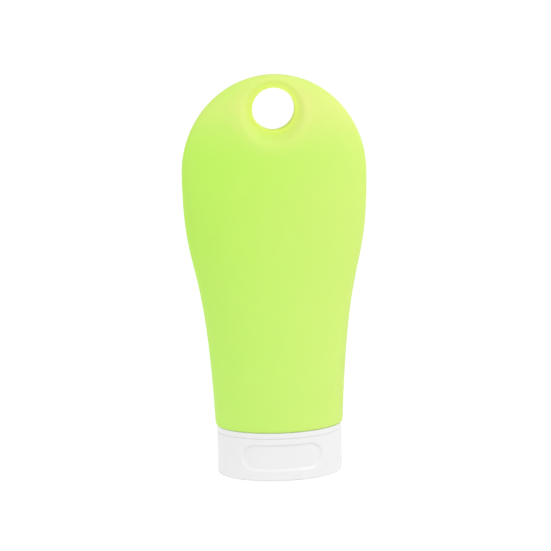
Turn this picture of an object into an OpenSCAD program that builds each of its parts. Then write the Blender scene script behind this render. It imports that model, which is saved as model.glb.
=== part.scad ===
// Silicone travel bottle: soft squeeze body with a hanging hole, on an oval flip-top cap.
// It stands on its lid. Z is up, the front with the thumb recess faces -Y, and Z = 0 is the table.

/* [Main sizes] */
// Height of the whole bottle, standing on its lid
total_h = 145; // [130:0.1:175]
// Width of the bulb at its widest
bulb_w = 66; // [58:0.1:76]
// Width of the cap
cap_w = 45.3; // [44.6:0.1:50]
// Depth of the cap
cap_d = 29.6; // [29:0.1:33]

/* [Body] */
// How far the silicone stands out past the cap on its left and right
foot_out_w = 0.55; // [0:0.05:1]
// How far the silicone stands out past the cap in front and behind
foot_out_d = 0.4; // [0:0.05:1]
// Height of the rounded crown, from the widest line up to the top
crown_h = 35; // [30:0.5:42]
// How far the narrow foot runs up before it swells
foot_reach = 68.5; // [50:0.5:75]
// Half width that the foot gains over that run
foot_flare = 2.8; // [1:0.1:4]
// How far the bulb runs down before it narrows
bulb_reach = 40; // [25:1:50]
// Fullness of the body's side view below the crown
belly_reach = 52.5; // [35:0.5:60]
// Half depth that the side view aims at above the foot, beyond the foot's own
belly_swell = 0.4; // [0:0.1:1]
// Half depth that the side view aims at where it turns in to the tab
shoulder_d = 10; // [8:0.5:12]
// Height of that turn above the widest line
shoulder_up = 5; // [0:0.5:10]
// Thickness of the tab at its rounded top edge
tab_t = 5.2; // [4:0.1:7]
// Wall of the hollow part
wall = 2; // [1.4:0.1:2.6]
// Rounding of the lower edge
edge_r = 1; // [0.5:0.1:1.5]

/* [Hanging hole] */
// Diameter of the hole
hole_d = 15.1; // [10:0.1:17]
// Solid silicone between the hole and the top edge
hole_margin = 4.6; // [3:0.05:7]
// Thickness of the web around the hole
web_t = 6; // [4:0.1:7]
// Rounding of the hole's rims
rim_r = 0.8; // [0.4:0.1:1.2]
// Radius of the hollow that blends the web into the body
dish_r = 1.5; // [1:0.1:5]
// Slope of the dish around the web, in degrees
dish_slope = 62; // [35:1:70]
// Run of the dish's slope past its curve, kept clear of the inside
dish_run = 2.5; // [1:0.1:3]
// Solid silicone between the dish and the inside
dish_floor = 2.6; // [2:0.1:5]
// Height over which the inside closes to its top
hollow_crown = 22; // [16:0.5:26]

/* [Neck] */
// Bore of the neck
neck_bore_d = 13; // [10:0.1:13.4]
// Wall of the neck
neck_wall = 1.7; // [1.3:0.1:1.8]
// Height of the neck below the silicone
neck_h = 8.1; // [6.5:0.1:8.5]
// Thickness of the silicone around the mouth
mouth_t = 5.5; // [5:0.1:8]
// Diameter of the flange that locks the neck into the silicone
flange_d = 24.8; // [22:0.1:25.4]
// Thickness of that flange
flange_t = 1.8; // [1.2:0.1:2]
// Silicone under that flange
flange_up = 2; // [1.5:0.1:2.5]
// Width of the lip inside the body
lip_w = 2; // [1:0.1:3]
// Thickness of the lip inside the body
lip_t = 1.2; // [0.8:0.1:2]
// Depth of one thread
thread_t = 0.8; // [0.5:0.05:0.9]

/* [Cap] */
// Height of the rim band between the body and the lid
rim_h = 1.85; // [1.6:0.05:2.5]
// Wall of the rim band
rim_wall = 1.6; // [1.2:0.1:2]
// Thickness of the deck inside the rim band
deck_t = 1.4; // [1:0.1:1.8]
// Wall of the threaded skirt
skirt_wall = 1.3; // [1:0.1:1.4]
// Thickness of the plate that closes the skirt
plate_t = 1.4; // [1:0.1:1.8]
// Diameter of the dispensing hole
orifice_d = 6.4; // [5:0.1:7]
// Wall of the nozzle
nozzle_wall = 1.2; // [0.8:0.1:1.5]
// Height of the nozzle below the plate
nozzle_h = 2.1; // [1.5:0.1:2.6]
// Height of the ridge that the lid snaps on to
ridge_h = 0.9; // [0.5:0.1:1.2]
// Wall of that ridge
ridge_wall = 1; // [0.8:0.1:1.4]

/* [Valve and seal] */
// Diameter of the valve
valve_d = 10.5; // [9.5:0.1:10.6]
// Thickness of the valve's flange
valve_t = 0.8; // [0.6:0.1:1.2]
// Thickness of the valve's membrane
membrane_t = 0.6; // [0.4:0.1:0.8]
// Length of each slit
slit_l = 3.6; // [2:0.1:4]
// Width of each slit
slit_w = 0.2; // [0.1:0.05:0.3]
// Bore of the valve's retaining ring
valve_ring_bore = 6.8; // [6:0.1:8]
// Height of the retaining ring
valve_ring_h = 1.2; // [0.8:0.1:1.4]
// Wall of the collar that holds the retaining ring
collar_wall = 0.9; // [0.7:0.05:0.95]
// Thickness of the gasket
gasket_t = 1.4; // [1:0.1:2]

/* [Lid] */
// Height of the lid
lid_h = 15.75; // [15:0.05:18]
// Wall of the lid
lid_wall = 1.3; // [1:0.1:1.5]
// Thickness of the lid's floor
lid_floor = 1.5; // [1.2:0.1:2]
// Rounding of the edge that the bottle stands on
lid_edge_r = 1.4; // [0.6:0.1:1.6]
// Width of the thumb recess
recess_w = 28.8; // [20:0.1:30]
// Height of the thumb recess
recess_h = 9.1; // [6:0.1:9.4]
// Depth of the thumb recess
recess_t = 0.6; // [0.5:0.1:1.1]
// Height of the recess's middle above the table
recess_up = 8.75; // [8:0.1:10]
// Depth that the sealing plug goes into the nozzle
plug_in = 1.1; // [0.6:0.1:1.2]

/* [Hinge] */
// Length of the hinge
hinge_l = 11; // [8:0.5:12]
// Thickness of the hinge strap
hinge_t = 0.45; // [0.3:0.05:0.5]
// How far the strap laps on to the lid and on to the rim band
hinge_lap = 1.35; // [1:0.05:1.6]
// How deep the flat for the hinge is cut into the back of the oval
hinge_flat = 0.6; // [0.5:0.05:0.7]

/* [Hidden] */
$fn = 48;

// Gap between the lid and the rim band, seen as a fine line
seam_gap = 0.3;
// Gap of parts that are pressed together
press_gap = 0.05;
// Gap of parts that slide past each other
slide_gap = 0.3;
// Gap between the lid and the ridge that it snaps on to
snap_gap = 0.25;
// Gap around the plug in the nozzle
plug_gap = 0.15;
// Overlap of joined solids and of cutters
eps = 0.01;
// Reach of cutters past the solid that they cut
past = 1;
// Sides of the cap's oval, and of the outer and inner skin of the body
oval_sides = 64;
skin_sides = 72;
hollow_sides = 30;

// Heights, from the table up
rim_z = lid_h + seam_gap;
body_z = rim_z + rim_h;
top_z = total_h;
bulb_z = top_z - crown_h;
mouth_z = body_z + mouth_t;
neck_z = body_z - neck_h;
plate_top = neck_z - gasket_t;
plate_z = plate_top - plate_t;
nozzle_z = plate_z - nozzle_h;
seam_z = lid_h + seam_gap / 2;

// Radii, from the axis of the neck out
neck_r = neck_bore_d / 2 + neck_wall;
skirt_r = neck_r + thread_t + slide_gap;
collar_r = valve_d / 2 + press_gap;
hole_r = hole_d / 2;
hole_z = top_z - hole_margin - hole_r;
flat_y = cap_d / 2 - hinge_flat;

// A point of the cubic curve with the four control points p
function cubic(p, t) =
  p[0] * pow(1 - t, 3) + p[1] * 3 * t * pow(1 - t, 2) + p[2] * 3 * t * t * (1 - t) + p[3] * pow(t, 3);

// Front and side outlines as [height, half width] and [height, half depth]
base_w = cap_w + 2 * foot_out_w;
base_d = cap_d + 2 * foot_out_d;
flank = [
  [body_z, base_w / 2],
  [body_z + foot_reach, base_w / 2 + foot_flare],
  [bulb_z - bulb_reach, bulb_w / 2],
  [bulb_z, bulb_w / 2]
];
side = [
  [body_z, base_d / 2],
  [body_z + belly_reach, base_d / 2 + belly_swell],
  [bulb_z + shoulder_up, shoulder_d],
  [top_z - tab_t / 2, tab_t / 2]
];
// Steps of the curves, and rows of the skin and of the hollow below their crowns
curve_steps = 24;
skin_steps = 11;
hollow_steps = 9;
flank_points = [for (i = [0 : curve_steps]) cubic(flank, i / curve_steps)];
side_points = [for (i = [0 : curve_steps]) cubic(side, i / curve_steps)];
function crown_w(z) = bulb_w / 2 * sqrt(max(0, 1 - pow((z - bulb_z) / crown_h, 2)));
function half_w(z) = z > bulb_z ? crown_w(z) : lookup(z, flank_points);
function half_d(z) =
  let (over = max(0, z - (top_z - tab_t / 2)) / (tab_t / 2))
  lookup(z, side_points) * sqrt(max(0, 1 - over * over));

// Rows of the outer skin as [height, half width, half depth]
edge_rows = [for (a = [0 : 30 : 60])
  let (z = body_z + edge_r * (1 - cos(a)), in = edge_r * (1 - sin(a)))
  [z, half_w(z) - in, half_d(z) - in]];
skin_rows = concat(
  edge_rows,
  [for (k = [0 : skin_steps])
    let (z = body_z + edge_r + (bulb_z - body_z - edge_r) * k / skin_steps)
    [z, half_w(z), half_d(z)]],
  [for (a = [7.5 : 7.5 : 82.5]) let (z = bulb_z + crown_h * sin(a)) [z, half_w(z), half_d(z)]]
);

// Rows of the hollow, which closes in a crown below the dish
dish_reach = hole_r + rim_r + dish_r * sin(dish_slope) + dish_run;
hollow_top = hole_z - dish_reach - dish_floor;
hollow_z = hollow_top - hollow_crown;
hollow_rows = concat(
  [for (k = [0 : hollow_steps])
    let (z = mouth_z + (hollow_z - mouth_z) * k / hollow_steps)
    [z, half_w(z) - wall, half_d(z) - wall]],
  [for (a = [15 : 15 : 75])
    let (z = hollow_z + hollow_crown * sin(a))
    [z, (half_w(z) - wall) * cos(a), (half_d(z) - wall) * cos(a)]]
);

// Oval outline of the cap
module oval(w, d) {
  polygon([for (i = [0 : oval_sides - 1])
    let (a = 360 * i / oval_sides) [w / 2 * cos(a), d / 2 * sin(a)]]);
}

// Skin through oval rows, closed by a flat floor and by a point at the top
module loft(rows, tip_z, sides) {
  last = len(rows) - 1;
  tip_point = len(rows) * sides;
  points = concat(
    [for (r = rows) for (i = [0 : sides - 1]) [r[1] * cos(360 * i / sides), r[2] * sin(360 * i / sides), r[0]]],
    [[0, 0, tip_z]]
  );
  walls = [for (k = [0 : last - 1]) for (i = [0 : sides - 1])
    let (a = k * sides + i, b = k * sides + (i + 1) % sides)
    each [[a, a + sides, b + sides], [a, b + sides, b]]];
  tip = [for (i = [0 : sides - 1]) [last * sides + i, tip_point, last * sides + (i + 1) % sides]];
  polyhedron(points = points, faces = concat([[for (i = [0 : sides - 1]) i]], walls, tip));
}

// Half of the outline that is cut away around the hole: bore, rounded rim, flat web and dish
function rim_arc() = [for (a = [0 : 30 : 90])
  [hole_r + rim_r * (1 - cos(a)), web_t / 2 - rim_r * (1 - sin(a))]];
function dish_arc() = [for (a = [0 : dish_slope / 3 : dish_slope])
  [hole_r + rim_r + dish_r * sin(a), web_t / 2 + dish_r * (1 - cos(a))]];

module hole_cutter() {
  reach = base_d / 2;
  dish_end = dish_arc()[3];
  slope_end = [dish_end[0] + (reach - dish_end[1]) / tan(dish_slope), reach];
  upper = concat(rim_arc(), [for (i = [1 : 3]) dish_arc()[i]], [slope_end, [0, reach]]);
  lower = [for (i = [len(upper) - 1 : -1 : 0]) [upper[i][0], -upper[i][1]]];
  translate([0, 0, hole_z]) rotate([90, 0, 0]) rotate_extrude() polygon(concat(upper, lower));
}

module body() {
  color("#c9f472")
    difference() {
      loft(skin_rows, top_z, skin_sides);
      loft(hollow_rows, hollow_top, hollow_sides);
      hole_cutter();
      translate([0, 0, body_z - past])
        cylinder(r = neck_r + press_gap, h = mouth_t + 2 * past);
      translate([0, 0, body_z + flange_up - press_gap])
        cylinder(d = flange_d + 2 * press_gap, h = flange_t + 2 * press_gap);
    }
}

// Hard neck: threaded tube, flange locked in the silicone and lip inside the body
module neck_insert() {
  bore_r = neck_bore_d / 2;
  flange_z = body_z + flange_up;
  lead = 0.5;
  color("#eef1ef")
    rotate_extrude() polygon([
      [bore_r, neck_z],
      [neck_r - lead, neck_z],
      [neck_r, neck_z + lead],
      [neck_r, flange_z],
      [flange_d / 2, flange_z],
      [flange_d / 2, flange_z + flange_t],
      [neck_r, flange_z + flange_t],
      [neck_r, mouth_z + press_gap],
      [neck_r + lip_w, mouth_z + press_gap],
      [neck_r + lip_w, mouth_z + press_gap + lip_t / 2],
      [bore_r + lead, mouth_z + press_gap + lip_t],
      [bore_r, mouth_z + press_gap + lip_t - lead]
    ]);
}

// Seal between the end of the neck and the plate of the cap
module gasket() {
  color("#d8dcda")
    translate([0, 0, plate_top])
      difference() {
        cylinder(r = skirt_r - press_gap, h = gasket_t);
        translate([0, 0, -past]) cylinder(r = collar_r + collar_wall + press_gap, h = gasket_t + 2 * past);
      }
}

// Threaded skirt with its plate, nozzle and valve collar, as one revolved outline
module skirt() {
  nozzle_r = orifice_d / 2;
  lip_r = 0.4;
  rotate_extrude() polygon([
    [nozzle_r, nozzle_z],
    [nozzle_r + nozzle_wall - lip_r, nozzle_z],
    [nozzle_r + nozzle_wall, nozzle_z + lip_r],
    [nozzle_r + nozzle_wall, plate_z],
    [skirt_r + skirt_wall - lip_r, plate_z],
    [skirt_r + skirt_wall, plate_z + lip_r],
    [skirt_r + skirt_wall, rim_z + deck_t],
    [skirt_r, rim_z + deck_t],
    [skirt_r, plate_top],
    [collar_r + collar_wall, plate_top],
    [collar_r + collar_wall, plate_top + valve_t + valve_ring_h],
    [collar_r, plate_top + valve_t + valve_ring_h],
    [collar_r, plate_top],
    [nozzle_r, plate_top]
  ]);
}

// Flat back that the hinge needs: what lies behind it is cut off
module behind_flat(z, h) {
  translate([-cap_w / 2, flat_y, z]) cube([cap_w, cap_d, h]);
}

module cap_base() {
  ridge_w = cap_w - 2 * (lid_wall + snap_gap);
  ridge_d = cap_d - 2 * (lid_wall + snap_gap);
  color("#eef1ef") {
    difference() {
      translate([0, 0, rim_z]) linear_extrude(height = rim_h) oval(cap_w, cap_d);
      translate([0, 0, rim_z + deck_t])
        linear_extrude(height = rim_h) oval(cap_w - 2 * rim_wall, cap_d - 2 * rim_wall);
      translate([0, 0, rim_z - past]) cylinder(r = skirt_r + skirt_wall - eps, h = rim_h + 2 * past);
      behind_flat(rim_z - past, rim_h + 2 * past);
    }
    translate([0, 0, rim_z - ridge_h])
      linear_extrude(height = ridge_h + eps)
        difference() {
          oval(ridge_w, ridge_d);
          oval(ridge_w - 2 * ridge_wall, ridge_d - 2 * ridge_wall);
        }
    skirt();
  }
}

// No-drip valve: flange, short wall and a membrane with a cross slit
module valve() {
  stem_r = orifice_d / 2 - press_gap;
  stem_wall = 0.6;
  drop = plate_t / 2;
  color("#f4f6f5")
    difference() {
      rotate_extrude() polygon([
        [0, plate_top - drop],
        [stem_r, plate_top - drop],
        [stem_r, plate_top],
        [valve_d / 2, plate_top],
        [valve_d / 2, plate_top + valve_t],
        [stem_r - stem_wall, plate_top + valve_t],
        [stem_r - stem_wall, plate_top - drop + membrane_t],
        [0, plate_top - drop + membrane_t]
      ]);
      for (turn = [0, 90])
        rotate([0, 0, turn])
          translate([-slit_l / 2, -slit_w / 2, plate_top - drop - past])
            cube([slit_l, slit_w, membrane_t + 2 * past]);
    }
}

// Hard ring that is pressed into the collar and holds the valve down
module valve_ring() {
  lead = 0.3;
  bottom = plate_top + valve_t;
  color("#e4e8e6")
    rotate_extrude() polygon([
      [valve_ring_bore / 2, bottom],
      [valve_d / 2, bottom],
      [valve_d / 2, bottom + valve_ring_h - lead],
      [valve_d / 2 - lead, bottom + valve_ring_h],
      [valve_ring_bore / 2 + lead, bottom + valve_ring_h],
      [valve_ring_bore / 2, bottom + valve_ring_h - lead]
    ]);
}

// Thin strap across the seam, waisted where it bends
module living_hinge() {
  waist = hinge_t / 3;
  color("#eef1ef")
    rotate([90, 0, 90])
      linear_extrude(height = hinge_l, center = true) polygon([
        [flat_y, lid_h - hinge_lap],
        [flat_y + hinge_t, lid_h - hinge_lap],
        [flat_y + hinge_t, seam_z - 2 * waist],
        [flat_y + hinge_t - waist, seam_z],
        [flat_y + hinge_t, seam_z + 2 * waist],
        [flat_y + hinge_t, rim_z + hinge_lap],
        [flat_y, rim_z + hinge_lap]
      ]);
}

// Oval block with a rounded lower edge
module lid_outside() {
  hull() {
    for (a = [0 : 18 : 90])
      translate([0, 0, lid_edge_r * (1 - cos(a))])
        linear_extrude(height = lid_h - lid_edge_r)
          oval(cap_w - 2 * lid_edge_r * (1 - sin(a)), cap_d - 2 * lid_edge_r * (1 - sin(a)));
  }
}

// Stadium outline of the thumb recess, grown by a margin
module recess_outline(margin) {
  for (x = [-1, 1]) translate([x * (recess_w - recess_h) / 2, 0]) circle(d = recess_h + 2 * margin);
  square([recess_w - recess_h, recess_h + 2 * margin], center = true);
}

// Part of the front wall within that outline, down to the given depth below the oval
module recess_solid(depth, margin) {
  intersection() {
    translate([0, 0, recess_up])
      rotate([90, 0, 0]) linear_extrude(height = cap_d) recess_outline(margin);
    difference() {
      linear_extrude(height = lid_h - ridge_h - snap_gap) oval(cap_w + past, cap_d + past);
      translate([0, 0, -past])
        linear_extrude(height = lid_h + 2 * past) oval(cap_w - 2 * depth, cap_d - 2 * depth);
    }
  }
}

// Plug that closes the nozzle, tapered to swing in and out of it
module plug() {
  nozzle_r = orifice_d / 2;
  plug_r = nozzle_r - plug_gap;
  taper = 0.8;
  tip_r = plug_r - taper * plug_in;
  plug_wall = 0.9;
  rotate_extrude() polygon([
    [plug_r - plug_wall, lid_floor - eps],
    [plug_r, lid_floor - eps],
    [plug_r, nozzle_z],
    [tip_r, nozzle_z + plug_in],
    [tip_r - plug_wall / 2, nozzle_z + plug_in],
    [plug_r - plug_wall, nozzle_z]
  ]);
}

module flip_lid() {
  inside_w = cap_w - 2 * lid_wall;
  inside_d = cap_d - 2 * lid_wall;
  pad_over = 1.5;
  pad_l = hinge_l + 2 * pad_over;
  pad_t = 1;
  pad_h = 4;
  color("#eef1ef") {
    difference() {
      lid_outside();
      difference() {
        translate([0, 0, lid_floor]) linear_extrude(height = lid_h) oval(inside_w, inside_d);
        recess_solid(recess_t + lid_wall, lid_wall);
        translate([-pad_l / 2, inside_d / 2 - pad_t, lid_h - ridge_h - snap_gap - pad_h])
          cube([pad_l, cap_d, pad_h]);
      }
      recess_solid(recess_t, 0);
      behind_flat(-past, lid_h + 2 * past);
    }
    plug();
  }
}

body();
neck_insert();
gasket();
cap_base();
valve();
valve_ring();
living_hinge();
flip_lid();
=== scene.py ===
import math

import bpy
from mathutils import Matrix, Vector


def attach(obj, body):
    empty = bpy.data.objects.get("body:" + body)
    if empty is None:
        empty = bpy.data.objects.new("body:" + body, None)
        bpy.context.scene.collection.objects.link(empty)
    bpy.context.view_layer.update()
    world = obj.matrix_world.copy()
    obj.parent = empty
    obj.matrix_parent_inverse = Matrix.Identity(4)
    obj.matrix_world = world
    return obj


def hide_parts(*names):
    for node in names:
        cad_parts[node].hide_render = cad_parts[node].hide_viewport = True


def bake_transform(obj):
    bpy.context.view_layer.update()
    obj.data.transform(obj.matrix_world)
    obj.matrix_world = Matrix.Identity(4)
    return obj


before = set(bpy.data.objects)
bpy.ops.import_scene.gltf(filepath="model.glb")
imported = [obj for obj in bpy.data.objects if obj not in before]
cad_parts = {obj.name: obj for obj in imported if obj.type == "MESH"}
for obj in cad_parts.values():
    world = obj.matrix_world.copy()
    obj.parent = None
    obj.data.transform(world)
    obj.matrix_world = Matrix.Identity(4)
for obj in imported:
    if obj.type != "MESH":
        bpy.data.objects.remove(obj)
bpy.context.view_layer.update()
print("frame loaded")

mm = 0.001
weld = 0.002 * mm  # vertices nearer than this become one

# the heights that the pieces share, from the table up, in millimetres
level = {
    "nozzle": 4.9,
    "plate": 7.0,
    "plateTop": 8.4,
    "neckEnd": 9.8,
    "lidTop": 15.75,
    "rimLow": 15.81,
    "deckLow": 16.05,
    "foot": 17.9,
    "mouth": 23.4,
    "crown": 110.0,
    "top": 145.0,
}


# selecting, edit mode and modifiers

def clearSelection():
    if bpy.context.object and bpy.context.object.mode != "OBJECT":
        bpy.ops.object.mode_set(mode="OBJECT")
    bpy.ops.object.select_all(action="DESELECT")


def pick(piece):
    clearSelection()
    piece.select_set(True)
    bpy.context.view_layer.objects.active = piece


def editAll(piece):
    pick(piece)
    bpy.ops.object.mode_set(mode="EDIT")
    bpy.ops.mesh.select_all(action="SELECT")


def applyModifier(piece, kind, **settings):
    pick(piece)
    modifier = piece.modifiers.new(kind.lower(), kind)
    for key, value in settings.items():
        setattr(modifier, key, value)
    bpy.ops.object.modifier_apply(modifier=modifier.name)


def roundEdges(piece, width, segments, angle):
    # the width is in millimetres, and edges flatter than the angle are left as they are
    applyModifier(piece, "BEVEL", width=width * mm, segments=segments, limit_method="ANGLE",
                  angle_limit=math.radians(angle))


def cutAway(piece, tool):
    applyModifier(piece, "BOOLEAN", object=tool, operation="DIFFERENCE", solver="EXACT")
    bpy.data.objects.remove(tool, do_unlink=True)


def joinInto(piece, others):
    pick(piece)
    for other in others:
        other.select_set(True)
    bpy.ops.object.join()


def turnPiece(piece, axis, angle):
    editAll(piece)
    bpy.ops.transform.rotate(value=angle, orient_axis=axis, center_override=(0, 0, 0))
    bpy.ops.object.mode_set(mode="OBJECT")


def movePiece(piece, offset):
    editAll(piece)
    bpy.ops.transform.translate(value=offset)
    bpy.ops.object.mode_set(mode="OBJECT")


def smoothShade(piece, angle):
    pick(piece)
    bpy.ops.object.shade_smooth_by_angle(angle=math.radians(angle))


def outward(piece):
    editAll(piece)
    bpy.ops.mesh.remove_doubles(threshold=weld)
    bpy.ops.mesh.normals_make_consistent(inside=False)
    bpy.ops.object.mode_set(mode="OBJECT")


# two ways to make a form: a skin through oval rings, and a turned outline

def ringSkin(name, rings, sides, ends=True):
    # a ring is (height, half width, half depth) in millimetres
    clearSelection()
    bpy.ops.mesh.primitive_circle_add(vertices=sides, radius=mm, fill_type="NOTHING",
                                      location=(0, 0, 0))
    skin = bpy.context.object
    skin.name = name
    z, halfW, halfD = rings[0]
    editAll(skin)
    bpy.ops.transform.resize(value=(halfW, halfD, 1), center_override=(0, 0, 0))
    bpy.ops.transform.translate(value=(0, 0, z * mm))
    if ends:
        bpy.ops.mesh.edge_face_add()
    for newZ, newW, newD in rings[1:]:
        step = (0, 0, (newZ - z) * mm)
        bpy.ops.mesh.extrude_edges_move(TRANSFORM_OT_translate={"value": step})
        bpy.ops.transform.resize(value=(newW / halfW, newD / halfD, 1),
                                 center_override=(0, 0, newZ * mm))
        z, halfW, halfD = newZ, newW, newD
    if ends:
        bpy.ops.mesh.edge_face_add()
    outward(skin)
    return skin


def turned(name, outline, steps=96, closed=True):
    # the outline is (radius, height) in millimetres, and an open one ends on the axis
    clearSelection()
    bpy.ops.mesh.primitive_plane_add(size=mm, location=(0, 0, 0))
    form = bpy.context.object
    form.name = name
    editAll(form)
    bpy.ops.mesh.merge(type="CENTER")
    bpy.ops.mesh.select_all(action="SELECT")
    radius, z = outline[0]
    bpy.ops.transform.translate(value=(radius * mm, 0, z * mm))
    for newRadius, newZ in outline[1:]:
        step = ((newRadius - radius) * mm, 0, (newZ - z) * mm)
        bpy.ops.mesh.extrude_vertices_move(TRANSFORM_OT_translate={"value": step})
        radius, z = newRadius, newZ
    if closed:
        bpy.ops.mesh.select_all(action="DESELECT")
        bpy.ops.object.mode_set(mode="OBJECT")
        form.data.vertices[0].select = True
        form.data.vertices[len(outline) - 1].select = True
        bpy.ops.object.mode_set(mode="EDIT")
        bpy.ops.mesh.edge_face_add()
    bpy.ops.mesh.select_all(action="SELECT")
    bpy.ops.mesh.spin(steps=steps, angle=2 * math.pi, center=(0, 0, 0), axis=(0, 0, 1))
    outward(form)
    return form


# curves and blends

def arc(centre, radius, start, end, steps):
    angles = [math.radians(start + (end - start) * k / steps) for k in range(steps + 1)]
    return [(centre[0] + radius * math.cos(a), centre[1] + radius * math.sin(a)) for a in angles]


def cubic(points, steps):
    curve = []
    for k in range(steps + 1):
        t = k / steps
        s = 1 - t
        shares = (s ** 3, 3 * t * s * s, 3 * t * t * s, t ** 3)
        curve.append([sum(p[axis] * share for p, share in zip(points, shares)) for axis in (0, 1)])
    return curve


def readCurve(points, z):
    for low, high in zip(points, points[1:]):
        if z <= high[0]:
            return low[1] + (high[1] - low[1]) * (z - low[0]) / (high[0] - low[0])
    return points[-1][1]


def softMin(a, b, blend):
    h = max(blend - abs(a - b), 0) / blend
    return min(a, b) - h * h * blend / 4


def softStep(x):
    x = min(max(x, 0), 1)
    return x * x * (3 - 2 * x)


# silicone body

bottle = {
    "footWidth": 46.4,
    "footDepth": 30.4,
    "footRound": 1.0,
    "footAngles": (0, 30, 60, 90),
    "footReach": 68.5,
    "footFlare": 2.8,
    "bulbWidth": 66.0,
    "bulbReach": 40,
    "crownHeight": 35,
    "bellyReach": 52.5,
    "bellySwell": 0.4,
    "shoulderRise": 5,
    "shoulderDepth": 10,
    "tab": 5.2,
    "tipHalf": 0.12,
    "curveSteps": 60,
    "flatShares": (0.45, 0.9),  # rings across the flat underside
    "flankRows": 28,
    "crownAngles": list(range(5, 85, 5)) + [83, 86, 88.5],
    "sides": 72,
    "holeRadius": 7.55,
    "holeHeight": 132.85,
    "holeSteps": 120,
    "holePast": 2,  # how far the cutting form reaches past the web
    "rimRound": 0.8,
    "rimSteps": 8,
    "web": 6.0,
    "dishRound": 1.5,
    "dishSlope": 62,
    "dishBlend": 3.4,
    "dishReach": 24,
    "wall": 2.0,
    "hollowTop": 118.0,
    "hollowCrown": 22,
    "hollowRows": 14,
    "hollowAngles": range(10, 90, 10),
    "hollowSides": 96,
    "mouthRadius": 8.25,
    "mouthPast": 1,
    "grooveRadius": 12.45,
    "grooveLow": 19.85,
    "grooveHigh": 21.75,
}

flankCurve = cubic([
    (level["foot"], bottle["footWidth"] / 2),
    (level["foot"] + bottle["footReach"], bottle["footWidth"] / 2 + bottle["footFlare"]),
    (level["crown"] - bottle["bulbReach"], bottle["bulbWidth"] / 2),
    (level["crown"], bottle["bulbWidth"] / 2),
], bottle["curveSteps"])
sideCurve = cubic([
    (level["foot"], bottle["footDepth"] / 2),
    (level["foot"] + bottle["bellyReach"], bottle["footDepth"] / 2 + bottle["bellySwell"]),
    (level["crown"] + bottle["shoulderRise"], bottle["shoulderDepth"]),
    (level["top"] - bottle["tab"] / 2, bottle["tab"] / 2),
], bottle["curveSteps"])


def halfWidth(z):
    if z > level["crown"]:
        rise = (z - level["crown"]) / bottle["crownHeight"]
        return bottle["bulbWidth"] / 2 * math.sqrt(max(0, 1 - rise * rise))
    return readCurve(flankCurve, z)


def halfDepth(z):
    over = max(0, z - level["top"] + bottle["tab"] / 2) / (bottle["tab"] / 2)
    return readCurve(sideCurve, z) * math.sqrt(max(0, 1 - over * over))


def dishHalf(distance):
    # half thickness that the web and its dish leave at this distance from the hole's axis
    web, bendRound = bottle["web"] / 2, bottle["dishRound"]
    slope = math.radians(bottle["dishSlope"])
    out = distance - (bottle["holeRadius"] + bottle["rimRound"])
    bend = bendRound * math.sin(slope)
    if out <= 0:
        return web
    if out < bend:
        return web + bendRound - math.sqrt(bendRound ** 2 - out * out)
    return web + bendRound * (1 - math.cos(slope)) + (out - bend) * math.tan(slope)


def bodyRings():
    foot, edge, crown = level["foot"], bottle["footRound"], level["crown"]
    rings = []
    for angle in bottle["footAngles"]:
        z = foot + edge * (1 - math.cos(math.radians(angle)))
        tuck = edge * (1 - math.sin(math.radians(angle)))
        rings.append((z, halfWidth(z) - tuck, halfDepth(z) - tuck))
    start = foot + edge
    for k in range(1, bottle["flankRows"] + 1):
        z = start + (crown - start) * k / bottle["flankRows"]
        rings.append((z, halfWidth(z), halfDepth(z)))
    for angle in bottle["crownAngles"]:
        z = crown + bottle["crownHeight"] * math.sin(math.radians(angle))
        rings.append((z, halfWidth(z), max(halfDepth(z), bottle["tipHalf"])))
    flat = [(foot, rings[0][1] * share, rings[0][2] * share) for share in bottle["flatShares"]]
    return flat + rings


def pressDish(skin):
    for v in skin.data.vertices:
        y = v.co.y / mm
        distance = math.hypot(v.co.x / mm, v.co.z / mm - bottle["holeHeight"])
        if distance < bottle["dishReach"]:
            half = softMin(abs(y), dishHalf(distance), bottle["dishBlend"])
            v.co.y = math.copysign(half, y) * mm


def makeHollow():
    low, wall, crown = level["mouth"], bottle["wall"], bottle["hollowCrown"]
    high = bottle["hollowTop"] - crown
    rings = []
    for k in range(bottle["hollowRows"] + 1):
        z = low + (high - low) * k / bottle["hollowRows"]
        rings.append((z, halfWidth(z) - wall, halfDepth(z) - wall))
    for angle in bottle["hollowAngles"]:
        z = high + crown * math.sin(math.radians(angle))
        share = math.cos(math.radians(angle))
        rings.append((z, (halfWidth(z) - wall) * share, (halfDepth(z) - wall) * share))
    return ringSkin("hollow", rings, bottle["hollowSides"])


def makeMouth():
    # the bore for the neck, with the groove that holds its flange
    low, high = level["foot"] - bottle["mouthPast"], level["mouth"] + bottle["mouthPast"]
    return turned("mouth", [
        (0, low),
        (bottle["mouthRadius"], low),
        (bottle["mouthRadius"], bottle["grooveLow"]),
        (bottle["grooveRadius"], bottle["grooveLow"]),
        (bottle["grooveRadius"], bottle["grooveHigh"]),
        (bottle["mouthRadius"], bottle["grooveHigh"]),
        (bottle["mouthRadius"], high),
        (0, high),
    ], closed=False)


def makeHole():
    # turned upright with its rounded rims, then laid along the depth
    web, rim = bottle["web"] / 2, bottle["rimRound"]
    wide, end = bottle["holeRadius"] + rim, web + bottle["holePast"]
    upper = arc((wide, web - rim), rim, 180, 90, bottle["rimSteps"])
    lower = [(r, -y) for r, y in reversed(upper)]
    outline = [(0, -end), (wide, -end)] + lower + upper + [(wide, end), (0, end)]
    hole = turned("hole", outline, steps=bottle["holeSteps"], closed=False)
    turnPiece(hole, "X", math.pi / 2)
    movePiece(hole, (0, 0, bottle["holeHeight"] * mm))
    return hole


def makeBody():
    skin = ringSkin("siliconeBody", bodyRings(), bottle["sides"])
    applyModifier(skin, "SUBSURF", levels=2, render_levels=2)
    pressDish(skin)
    cutAway(skin, makeHollow())
    cutAway(skin, makeMouth())
    cutAway(skin, makeHole())
    smoothShade(skin, angle=40)
    return skin


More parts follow.
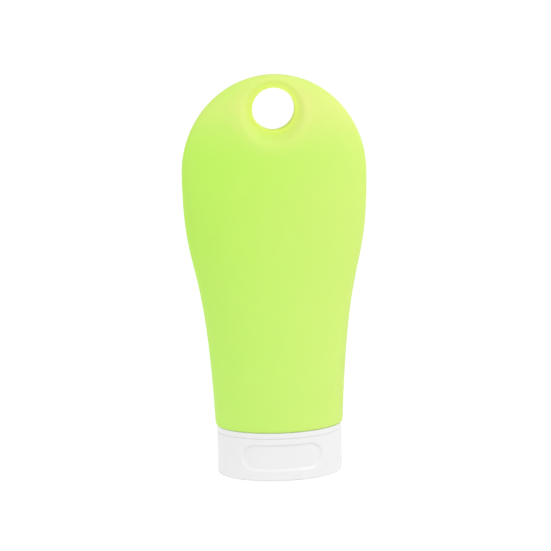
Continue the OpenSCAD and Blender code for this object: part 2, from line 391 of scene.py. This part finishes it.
siliconeBody = makeBody()
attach(siliconeBody, "bottle")
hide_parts("body")
print("silicone body made,", len(siliconeBody.data.polygons), "faces")


# threads, as two ridges that wind round the neck and two inside the skirt

thread = {
    "lead": 4.5,
    "starts": 2,
    "depth": 0.8,
    "foot": 1.25,
    "crest": 0.5,
    "sunk": 0.06,  # how deep a ridge stands in its wall
    "turns": 1.25,
    "steps": 84,
    "fadeTurn": 0.8,  # radians over which a ridge runs out at its ends
    "fadeStart": 0.15,
    "fadeLeast": 0.05,
    "neckStart": 10.9,
    "skirtStart": 9.85,
}


def threadRidge(name, radius, reach, start):
    # a ridge stands on the wall at this radius, and a reach below 0 takes it inwards
    clearSelection()
    bpy.ops.mesh.primitive_plane_add(size=mm, location=(0, 0, 0))
    ridge = bpy.context.object
    ridge.name = name
    root = radius - math.copysign(thread["sunk"], reach)
    outline = [
        (root, -thread["foot"] / 2),
        (radius + reach, -thread["crest"] / 2),
        (radius + reach, thread["crest"] / 2),
        (root, thread["foot"] / 2),
    ]
    # 0, 1, 3 and 2 are the plane's corners in their order round it
    for k, (r, z) in zip((0, 1, 3, 2), outline):
        ridge.data.vertices[k].co = (r * mm, 0, (start + z) * mm)
    editAll(ridge)
    bpy.ops.mesh.delete(type="ONLY_FACE")
    bpy.ops.object.mode_set(mode="OBJECT")
    turns, lead = thread["turns"], thread["lead"]
    steps = int(thread["steps"] * turns)
    applyModifier(ridge, "SCREW", angle=turns * 2 * math.pi, steps=steps, render_steps=steps,
                  screw_offset=lead * turns * mm, use_merge_vertices=False)
    editAll(ridge)
    bpy.ops.mesh.select_all(action="DESELECT")
    bpy.ops.mesh.select_non_manifold()
    bpy.ops.mesh.edge_face_add()
    bpy.ops.object.mode_set(mode="OBJECT")
    lastTurn = 2 * math.pi * turns
    for v in ridge.data.vertices:
        along = (v.co.z / mm - start) / lead * 2 * math.pi
        toEnd = min(along, lastTurn - along)
        fade = softStep(toEnd / thread["fadeTurn"] + thread["fadeStart"])
        r = math.hypot(v.co.x, v.co.y)
        wanted = radius * mm + (r - radius * mm) * max(fade, thread["fadeLeast"])
        v.co.x *= wanted / r
        v.co.y *= wanted / r
    outward(ridge)
    return ridge


def threadSet(name, radius, reach, start):
    ridges = []
    for k in range(thread["starts"]):
        ridge = threadRidge(name + str(k), radius, reach, start)
        turnPiece(ridge, "Z", 2 * math.pi * k / thread["starts"])
        ridges.append(ridge)
    joinInto(ridges[0], ridges[1:])
    return ridges[0]


# neck

neck = {
    "bore": 6.5,
    "radius": 8.2,
    "flangeRadius": 12.4,
    "flangeLow": 19.9,
    "flangeHigh": 21.7,
    "lipRadius": 10.2,
    "lipLow": 23.45,
    "lipEdge": 0.6,
    "lipHigh": 24.65,
    "lead": 0.5,
    "edge": 0.12,
}


def makeNeck():
    low, bore, radius, lead = level["neckEnd"], neck["bore"], neck["radius"], neck["lead"]
    tube = turned("neckTube", [
        (bore, low),
        (radius - lead, low),
        (radius, low + lead),
        (radius, neck["flangeLow"]),
        (neck["flangeRadius"], neck["flangeLow"]),
        (neck["flangeRadius"], neck["flangeHigh"]),
        (radius, neck["flangeHigh"]),
        (radius, neck["lipLow"]),
        (neck["lipRadius"], neck["lipLow"]),
        (neck["lipRadius"], neck["lipLow"] + neck["lipEdge"]),
        (bore + lead, neck["lipHigh"]),
        (bore, neck["lipHigh"] - lead),
    ])
    roundEdges(tube, neck["edge"], segments=2, angle=30)
    ridges = threadSet("neckThread", radius, thread["depth"], thread["neckStart"])
    joinInto(tube, [ridges])
    smoothShade(tube, angle=30)
    return tube


neckTube = makeNeck()
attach(neckTube, "bottle")
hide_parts("neck_insert")
print("neck made")


# cap: rim band, deck, skirt and nozzle

cap = {
    "width": 45.3,
    "depth": 29.6,
    "rimWall": 1.6,
    "deck": 1.4,
    "deckLap": 0.1,  # how far the deck reaches into the skirt's wall
    "ridgeDrop": 0.9,
    "ridgeInset": 1.55,
    "ridgeWall": 1.0,
    "flatBack": 14.2,
    "edge": 0.12,
    "sides": 320,
    "skirtRadius": 9.3,
    "skirtWall": 1.3,
    "skirtEdge": 0.3,
    "skirtSteps": 128,
    "nozzleRadius": 3.2,
    "nozzleWall": 1.2,
    "collarRadius": 5.3,
    "collarWall": 0.9,
    "collarTop": 10.4,
}


def flattenBack(piece):
    for v in piece.data.vertices:
        v.co.y = min(v.co.y, cap["flatBack"] * mm)


def makeBand():
    # the rim band and its deck, with the ridge that the lid closes over
    a, b = cap["width"] / 2, cap["depth"] / 2
    low, high, deckLow = level["rimLow"], level["foot"], level["deckLow"]
    deckTop, drop = deckLow + cap["deck"], deckLow - cap["ridgeDrop"]
    hole = cap["skirtRadius"] + cap["skirtWall"] - cap["deckLap"]
    wall, ridge = cap["rimWall"], cap["ridgeInset"]
    ridgeIn = ridge + cap["ridgeWall"]
    band = ringSkin("capBase", [
        (deckLow, hole, hole),
        (deckLow, a - ridgeIn, b - ridgeIn),
        (drop, a - ridgeIn, b - ridgeIn),
        (drop, a - ridge, b - ridge),
        (low, a - ridge, b - ridge),
        (low, a, b),
        ((low + high) / 2, a, b),
        (high, a, b),
        (high, a - wall, b - wall),
        (deckTop, a - wall, b - wall),
        (deckTop, hole, hole),
        (deckLow, hole, hole),
    ], cap["sides"], ends=False)
    roundEdges(band, cap["edge"], segments=3, angle=40)
    flattenBack(band)
    return band


def makeSkirt():
    # the skirt with its plate, nozzle and collar
    deckTop = level["deckLow"] + cap["deck"]
    skirtOut = cap["skirtRadius"] + cap["skirtWall"]
    nozzleOut = cap["nozzleRadius"] + cap["nozzleWall"]
    collarOut = cap["collarRadius"] + cap["collarWall"]
    skirt = turned("skirt", [
        (cap["nozzleRadius"], level["nozzle"]),
        (nozzleOut, level["nozzle"]),
        (nozzleOut, level["plate"]),
        (skirtOut, level["plate"]),
        (skirtOut, deckTop),
        (cap["skirtRadius"], deckTop),
        (cap["skirtRadius"], level["plateTop"]),
        (collarOut, level["plateTop"]),
        (collarOut, cap["collarTop"]),
        (cap["collarRadius"], cap["collarTop"]),
        (cap["collarRadius"], level["plateTop"]),
        (cap["nozzleRadius"], level["plateTop"]),
    ], steps=cap["skirtSteps"])
    roundEdges(skirt, cap["skirtEdge"], segments=3, angle=30)
    return skirt


def makeCap():
    band = makeBand()
    skirt = makeSkirt()
    ridges = threadSet("skirtThread", cap["skirtRadius"], -thread["depth"], thread["skirtStart"])
    joinInto(band, [skirt, ridges])
    smoothShade(band, angle=30)
    return band


capBase = makeCap()
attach(capBase, "cap")
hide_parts("cap_base")
print("cap made")


# flip lid with its thumb recess

lid = {
    "wall": 1.3,
    "floor": 1.5,
    "edgeRound": 0.7,
    "edgeSteps": 8,
    "rimRound": 0.12,
    "rimSteps": 3,
    "floorRound": 0.6,
    "floorSteps": 4,
    "flatShare": 0.5,  # a ring across the flat underside and one across the floor
    "flatInset": 1,
    "wallRows": 50,
    "insideRows": 26,
    "sides": 560,
    "recessWidth": 28.8,
    "recessHeight": 9.1,
    "recessMiddle": 8.75,
    "recessDepth": 0.6,
    "recessEdge": 1.0,
    "recessReach": (2.2, 15.2),
    "innerShares": (0.04, 0.12),  # where the wall's two skins lie, as shares of the oval
    "outerShares": (-0.01, 0.012),
    "padLength": 14,
    "padBack": 12.5,
    "padLow": 10.6,
    "padHigh": 14.6,
    "padShare": 0.95,
    "plugRadius": 3.05,
    "plugWall": 0.9,
    "plugIn": 1.1,
    "plugTaper": 0.8,
    "plugLap": 0.1,
    "plugEdge": 0.15,
}


def lidRings():
    # across the underside, up the outside, over the rim, and down the inside to the floor
    a, b = cap["width"] / 2, cap["depth"] / 2
    wall, floor, flat = lid["wall"], lid["floor"], lid["flatShare"]
    edge, rim, corner = lid["edgeRound"], lid["rimRound"], lid["floorRound"]
    rimStart, cornerStart, inner = level["lidTop"] - rim, floor + corner, wall - rim
    inset = edge + lid["flatInset"]
    rings = [(0, a * flat, b * flat), (0, a - inset, b - inset)]

    def addRing(z, tuck):
        rings.append((z, a - tuck, b - tuck))

    def addRows(start, end, tuck, rows):
        for k in range(1, rows + 1):
            addRing(start + (end - start) * k / rows, tuck)

    def quarter(steps, first):
        return [math.radians(90 * k / steps) for k in range(first, steps + 1)]

    for angle in quarter(lid["edgeSteps"], 0):
        addRing(edge * (1 - math.cos(angle)), edge * (1 - math.sin(angle)))
    addRows(edge, rimStart, 0, lid["wallRows"])
    for angle in quarter(lid["rimSteps"], 1):
        addRing(rimStart + rim * math.sin(angle), rim * (1 - math.cos(angle)))
    for angle in quarter(lid["rimSteps"], 0):
        addRing(rimStart + rim * math.cos(angle), inner + rim * math.sin(angle))
    addRows(rimStart, cornerStart, wall, lid["insideRows"])
    for angle in quarter(lid["floorSteps"], 1):
        addRing(cornerStart - corner * math.sin(angle), wall + corner * (1 - math.cos(angle)))
    rings.append((floor, a * flat, b * flat))
    return rings


def recessGap(x, z, margin):
    # distance from the stadium's edge, more than 0 inside it
    half = (lid["recessWidth"] - lid["recessHeight"]) / 2
    side = max(abs(x) - half, 0)
    return lid["recessHeight"] / 2 + margin - math.hypot(side, z - lid["recessMiddle"])


def pressRecess(shell, margin, shares):
    # moves the skin that lies between these shares of the oval inwards, within the stadium
    a, b = cap["width"] / 2, cap["depth"] / 2
    low, high = lid["recessReach"]
    start, end = shares
    for v in shell.data.vertices:
        x, y, z = (c / mm for c in v.co)
        if y > 0 or z < low or z > high:
            continue
        depthIn = 1 - math.hypot(x / a, y / b)
        if not start <= depthIn <= end:
            continue
        push = softStep(recessGap(x, z, margin) / lid["recessEdge"] + 0.5) * lid["recessDepth"]
        if push > 0:
            slope = Vector((x / a ** 2, y / b ** 2, 0)).normalized()
            v.co -= slope * push * mm


def pressPad(shell):
    # thickens the back wall inwards behind the hinge's flat
    a, b = cap["width"] / 2, cap["depth"] / 2
    for v in shell.data.vertices:
        x, y, z = (c / mm for c in v.co)
        inside = y > 0 and math.hypot(x / a, y / b) < lid["padShare"]
        if inside and abs(x) < lid["padLength"] / 2 and lid["padLow"] < z < lid["padHigh"]:
            v.co.y = min(y, lid["padBack"]) * mm


def makePlug():
    # stands on the floor and closes the nozzle with its tapered tip
    low, radius, wall = lid["floor"] - lid["plugLap"], lid["plugRadius"], lid["plugWall"]
    tip = radius - lid["plugTaper"] * lid["plugIn"]
    plug = turned("plug", [
        (radius - wall, low),
        (radius, low),
        (radius, level["nozzle"]),
        (tip, level["nozzle"] + lid["plugIn"]),
        (tip - wall / 2, level["nozzle"] + lid["plugIn"]),
        (radius - wall, level["nozzle"]),
    ])
    roundEdges(plug, lid["plugEdge"], segments=2, angle=25)
    return plug


def makeLid():
    shell = ringSkin("flipLid", lidRings(), lid["sides"])
    # the inner skin goes first, before the outer one comes near it
    pressRecess(shell, lid["wall"], lid["innerShares"])
    pressRecess(shell, 0, lid["outerShares"])
    pressPad(shell)
    flattenBack(shell)
    joinInto(shell, [makePlug()])
    smoothShade(shell, angle=35)
    return shell


flipLid = makeLid()
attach(flipLid, "lid")
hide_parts("flip_lid")
print("lid made,", len(flipLid.data.polygons), "faces")


# hinge strap across the seam, with a thinner waist at the seam

hinge = {
    "length": 11.0,
    "thick": 0.45,
    "lap": 1.35,
    "edge": 0.12,
    "rows": 24,
    "waistReach": 0.55,
    "waistShare": 0.45,  # how much of the thickness the waist takes away
    "bendMargin": 0.3,
}
hingeY = (cap["flatBack"] + hinge["thick"] / 2) * mm


def makeStrap():
    low, high = level["lidTop"] - hinge["lap"], level["deckLow"] + hinge["lap"]
    seam = (level["lidTop"] + level["deckLow"]) / 2
    clearSelection()
    bpy.ops.mesh.primitive_cube_add(size=mm, location=(0, 0, 0))
    strap = bpy.context.object
    strap.name = "hingeStrap"
    editAll(strap)
    bpy.ops.transform.resize(value=(hinge["length"], hinge["thick"], high - low),
                             center_override=(0, 0, 0))
    movePiece(strap, (0, hingeY, (low + high) / 2 * mm))
    roundEdges(strap, hinge["edge"], segments=3, angle=40)
    for k in range(1, hinge["rows"]):
        editAll(strap)
        height = low + (high - low) * k / hinge["rows"]
        bpy.ops.mesh.bisect(plane_co=(0, 0, height * mm), plane_no=(0, 0, 1))
        bpy.ops.object.mode_set(mode="OBJECT")
    for v in strap.data.vertices:
        if v.co.y > hingeY:
            near = softStep(1 - abs(v.co.z / mm - seam) / hinge["waistReach"])
            v.co.y -= hinge["thick"] * hinge["waistShare"] * near * mm
    outward(strap)
    smoothShade(strap, angle=40)
    return strap


hingeStrap = makeStrap()
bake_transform(hingeStrap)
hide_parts("living_hinge")
print("hinge strap made")


# materials

class Nodes:
    def __init__(self, name):
        self.material = bpy.data.materials.new(name)
        self.material.use_nodes = True
        self.tree = self.material.node_tree
        self.shader = self.tree.nodes["Principled BSDF"]

    def add(self, kind, inputs=None, **settings):
        node = self.tree.nodes.new(kind)
        for key, value in settings.items():
            setattr(node, key, value)
        for key, value in (inputs or {}).items():
            if hasattr(value, "is_output"):
                self.tree.links.new(value, node.inputs[key])
            else:
                node.inputs[key].default_value = value
        return node

    def link(self, output, socket):
        self.tree.links.new(output, self.shader.inputs[socket])

    def set(self, socket, value):
        self.shader.inputs[socket].default_value = value

    def place(self):
        return self.add("ShaderNodeTexCoord").outputs["Object"]

    def math(self, operation, a, b=0.0):
        return self.add("ShaderNodeMath", {0: a, 1: b}, operation=operation).outputs[0]

    def noise(self, place, grain):
        scale, detail = grain
        inputs = {"Vector": place, "Scale": scale, "Detail": detail}
        return self.add("ShaderNodeTexNoise", inputs).outputs[0]

    def spread(self, value, low, high):
        inputs = {"Value": value, "To Min": low, "To Max": high}
        return self.add("ShaderNodeMapRange", inputs).outputs[0]

    def fade(self, value, limits, soft=True):
        # the limits are where the fade starts, where it is full, and its values at both
        start, full, low, high = limits
        inputs = {"Value": value, "From Min": start, "From Max": full,
                  "To Min": low, "To Max": high}
        kind = "SMOOTHSTEP" if soft else "LINEAR"
        return self.add("ShaderNodeMapRange", inputs, interpolation_type=kind).outputs[0]

    def blend(self, share, a, b):
        # the sockets of a colour mix are 0, 6 and 7, and its colour comes out of 2
        return self.add("ShaderNodeMix", {0: share, 6: a, 7: b}, data_type="RGBA").outputs[2]

    def bump(self, height, strength, distance):
        inputs = {"Height": height, "Strength": strength, "Distance": distance}
        self.link(self.add("ShaderNodeBump", inputs).outputs[0], "Normal")


def colour(picture):
    # from the 0 to 255 values of a picture
    shares = [v / 255 for v in picture]
    return tuple(s / 12.92 if s <= 0.04 else ((s + 0.055) / 1.055) ** 2.4 for s in shares) + (1,)


silicone = {
    "colour": (190, 237, 99),
    "footColour": (188, 243, 104),
    # painted light: the paler colour that stands in for light from above, from the +x side and
    # through the web round the hole
    "paintedLightColour": (230, 232, 143),
    # painted shade: the deeper green on the rim and the dish's slope just round the hole
    "paintedRimShadeColour": (217, 239, 100),
    # each fade in metres: where it starts, where it is full, and its values at both
    "footFade": (0.1, 0.035, 0.0, 1.0),
    "lowFade": (0.125, 0.02, -0.1, 0.13),
    # painted light from above on the top, which the next fade takes back a little at the very top
    # edge
    "paintedTopLightFade": (0.113, 0.138, 0.0, 0.46),
    "edgeFade": (0.132, 0.144, 0.0, 0.22),
    # painted light on the +x side, where the key lamp stands
    "paintedSideLightFade": (-0.03, 0.033, 0.0, 0.44),
    # painted light coming through the thin web round the hole
    "paintedHoleLightFade": (0.018, 0.0105, 0.0, 0.2),
    "paintedRimShadeFade": (0.011, 0.0078, 0.0, 0.7),
    "cloud": 0.12,
    "cloudNoise": (55, 2),  # scale and detail
    "grainNoise": (900, 3),
    "roughness": (0.47, 0.58),
    "bump": 0.08,
    "bumpHeight": 0.0001,
    "specular": 0.25,
    "ior": 1.41,
    "scatter": 0.35,
    "scatterReach": (0.004, 0.0025, 0.0012),
    "scatterScale": 1.0,
}


def makeSilicone():
    n = Nodes("limeSilicone")
    place = n.place()
    axes = n.add("ShaderNodeSeparateXYZ", {0: place})
    x, z = axes.outputs[0], axes.outputs[2]
    overHole = n.math("SUBTRACT", z, bottle["holeHeight"] * mm)
    fromHole = n.math("SQRT", n.math("ADD", n.math("POWER", x, 2.0),
                                     n.math("POWER", overHole, 2.0)))
    # painted light: the colour goes towards the paler one of painted light near the top, round the
    # hole and on the lit +x side, less so at the very top edge; it also grows paler towards the
    # foot, and a cloud varies it at random
    paintedLightShare = n.fade(z, silicone["paintedTopLightFade"])
    paintedLightShare = n.math("ADD", paintedLightShare, n.fade(x, silicone["paintedSideLightFade"], soft=False))
    paintedLightShare = n.math("ADD", paintedLightShare, n.fade(fromHole, silicone["paintedHoleLightFade"]))
    paintedLightShare = n.math("SUBTRACT", paintedLightShare, n.fade(z, silicone["edgeFade"]))
    paintedLightShare = n.math("ADD", paintedLightShare, n.fade(z, silicone["lowFade"], soft=False))
    cloud = n.math("SUBTRACT", n.noise(place, silicone["cloudNoise"]), 0.5)
    paintedLightShare = n.math("ADD", paintedLightShare, n.math("MULTIPLY", cloud, silicone["cloud"]))
    base = n.blend(n.fade(z, silicone["footFade"], soft=False),
                   colour(silicone["colour"]), colour(silicone["footColour"]))
    tint = n.blend(paintedLightShare, base, colour(silicone["paintedLightColour"]))
    # painted shade close round the hole's rim
    web = n.fade(fromHole, silicone["paintedRimShadeFade"])
    n.link(n.blend(web, tint, colour(silicone["paintedRimShadeColour"])), "Base Color")
    grain = n.noise(place, silicone["grainNoise"])
    n.link(n.spread(grain, *silicone["roughness"]), "Roughness")
    n.bump(grain, silicone["bump"], silicone["bumpHeight"])
    n.set("Specular IOR Level", silicone["specular"])
    n.set("IOR", silicone["ior"])
    n.set("Subsurface Weight", silicone["scatter"])
    n.set("Subsurface Radius", silicone["scatterReach"])
    n.set("Subsurface Scale", silicone["scatterScale"])
    return n.material


plastic = {
    "colour": (241, 240, 242),
    "cloudColour": (238, 237, 239),
    "cloudNoise": (90, 2),
    "grainNoise": (1400, 2),
    "roughness": (0.34, 0.46),
    "bump": 0.06,
    "bumpHeight": 0.00005,
    "ior": 1.49,
    "transmission": 0.03,
    "scatter": 0.2,
    "scatterReach": (0.0008, 0.0008, 0.0008),
    "scatterScale": 1.0,
}


def makePlastic():
    n = Nodes("frostedPlastic")
    place = n.place()
    cloud = n.noise(place, plastic["cloudNoise"])
    n.link(n.blend(cloud, colour(plastic["colour"]), colour(plastic["cloudColour"])), "Base Color")
    grain = n.noise(place, plastic["grainNoise"])
    n.link(n.spread(grain, *plastic["roughness"]), "Roughness")
    n.bump(grain, plastic["bump"], plastic["bumpHeight"])
    n.set("IOR", plastic["ior"])
    n.set("Transmission Weight", plastic["transmission"])
    n.set("Subsurface Weight", plastic["scatter"])
    n.set("Subsurface Radius", plastic["scatterReach"])
    n.set("Subsurface Scale", plastic["scatterScale"])
    return n.material


seal = {
    "colour": (226, 229, 227),
    "cloudColour": (236, 238, 237),
    "cloudNoise": (300, 3),
    "roughness": (0.45, 0.6),
    "transmission": 0.3,
    "ior": 1.41,
}


def makeSeal():
    n = Nodes("clearSilicone")
    cloud = n.noise(n.place(), seal["cloudNoise"])
    n.link(n.blend(cloud, colour(seal["colour"]), colour(seal["cloudColour"])), "Base Color")
    n.link(n.spread(cloud, *seal["roughness"]), "Roughness")
    n.set("Transmission Weight", seal["transmission"])
    n.set("IOR", seal["ior"])
    return n.material


limeSilicone = makeSilicone()
frostedPlastic = makePlastic()
clearSilicone = makeSeal()


def dress(piece, material):
    piece.data.materials.clear()
    piece.data.materials.append(material)


dress(siliconeBody, limeSilicone)
for piece in (neckTube, capBase, flipLid, hingeStrap):
    dress(piece, frostedPlastic)
carried = {"gasket": clearSilicone, "valve": clearSilicone, "valve_ring": frostedPlastic}
for node, material in carried.items():
    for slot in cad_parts[node].material_slots:
        slot.material = material
print("materials made")


# floor, light and camera

studio = {
    "floorSize": 8,
    "floorColour": (0.9, 0.9, 0.9, 1),
    "floorRoughness": 0.8,
    "floorSpecular": 0.1,
    "floorGlow": 1.05,
    "floorWhite": 0.93,  # the rest of what the camera sees is the floor with its shadow
    "worldLight": 0.74,
    "worldSeen": 1.0,
    "keyLamp": {"place": (0.5, -0.46, 0.63), "aim": (0, 0, 0.08), "size": 0.5, "power": 2.9},
    "fillLamp": {"place": (-0.8, -0.28, 0.12), "aim": (0, 0, 0.06), "size": 0.7, "power": 2.05},
}

view = {
    "azimuth": -4.2,
    "elevation": 11.63,
    "roll": 1.15,
    "distance": 0.7,
    "pixelsPerMillimetre": 2.7826,
    "imageWidth": 551,
    "aim": (-0.0003, 0, 0.0726),
    "clipStart": 0.01,
}


def makeFloor():
    clearSelection()
    bpy.ops.mesh.primitive_plane_add(size=studio["floorSize"], location=(0, 0, 0))
    floor = bpy.context.object
    floor.name = "floor"
    n = Nodes("paleFloor")
    n.set("Base Color", studio["floorColour"])
    n.set("Roughness", studio["floorRoughness"])
    n.set("Specular IOR Level", studio["floorSpecular"])
    rays = n.add("ShaderNodeLightPath").outputs
    seen = n.math("MAXIMUM", rays["Is Glossy Ray"], rays["Is Transmission Ray"])
    seen = n.math("MAXIMUM", rays["Is Camera Ray"], seen)
    white = n.add("ShaderNodeEmission", {"Color": (1, 1, 1, 1), "Strength": studio["floorGlow"]})
    mix = n.add("ShaderNodeMixShader", {
        0: n.math("MULTIPLY", seen, studio["floorWhite"]),
        1: n.shader.outputs[0],
        2: white.outputs[0],
    })
    n.tree.links.new(mix.outputs[0], n.tree.nodes["Material Output"].inputs[0])
    dress(floor, n.material)


def makeWorld():
    # full white where it is seen, and dimmer where it only gives light
    world = bpy.data.worlds.new("studioWorld")
    bpy.context.scene.world = world
    world.use_nodes = True
    tree = world.node_tree
    background = tree.nodes["Background"]
    background.inputs[0].default_value = (1, 1, 1, 1)
    rays = tree.nodes.new("ShaderNodeLightPath").outputs
    seen = tree.nodes.new("ShaderNodeMath")
    seen.operation = "MAXIMUM"
    tree.links.new(rays["Is Camera Ray"], seen.inputs[0])
    tree.links.new(rays["Is Transmission Ray"], seen.inputs[1])
    strength = tree.nodes.new("ShaderNodeMapRange")
    strength.inputs["To Min"].default_value = studio["worldLight"]
    strength.inputs["To Max"].default_value = studio["worldSeen"]
    tree.links.new(seen.outputs[0], strength.inputs[0])
    tree.links.new(strength.outputs[0], background.inputs[1])


def makeLamp(name):
    lampValues = studio[name]
    place, aim = Vector(lampValues["place"]), Vector(lampValues["aim"])
    clearSelection()
    bpy.ops.object.light_add(type="AREA", location=place)
    lamp = bpy.context.object
    lamp.name = name
    lamp.data.shape = "DISK"
    lamp.data.size = lampValues["size"]
    lamp.data.energy = lampValues["power"]
    lamp.rotation_euler = (aim - place).to_track_quat("-Z", "Y").to_euler()


def makeCamera():
    # the axes of a camera that looks at the aim, leant by the roll
    azimuth, elevation, roll = (math.radians(view[k]) for k in ("azimuth", "elevation", "roll"))
    back = Vector((math.sin(azimuth) * math.cos(elevation),
                   -math.cos(azimuth) * math.cos(elevation),
                   math.sin(elevation)))
    right = Vector((math.cos(azimuth), math.sin(azimuth), 0))
    up = back.cross(right)
    leanRight = right * math.cos(roll) - up * math.sin(roll)
    leanUp = right * math.sin(roll) + up * math.cos(roll)
    clearSelection()
    bpy.ops.object.camera_add(location=Vector(view["aim"]) + back * view["distance"])
    camera = bpy.context.object
    camera.rotation_euler = Matrix((leanRight, leanUp, back)).transposed().to_euler()
    pixelsAcross = view["pixelsPerMillimetre"] * view["distance"] / mm
    camera.data.lens = pixelsAcross * camera.data.sensor_width / view["imageWidth"]
    camera.data.clip_start = view["clipStart"]
    bpy.context.scene.camera = camera


makeFloor()
makeWorld()
makeLamp("keyLamp")
makeLamp("fillLamp")
makeCamera()
bpy.context.scene.view_settings.view_transform = "Standard"
print("studio made")
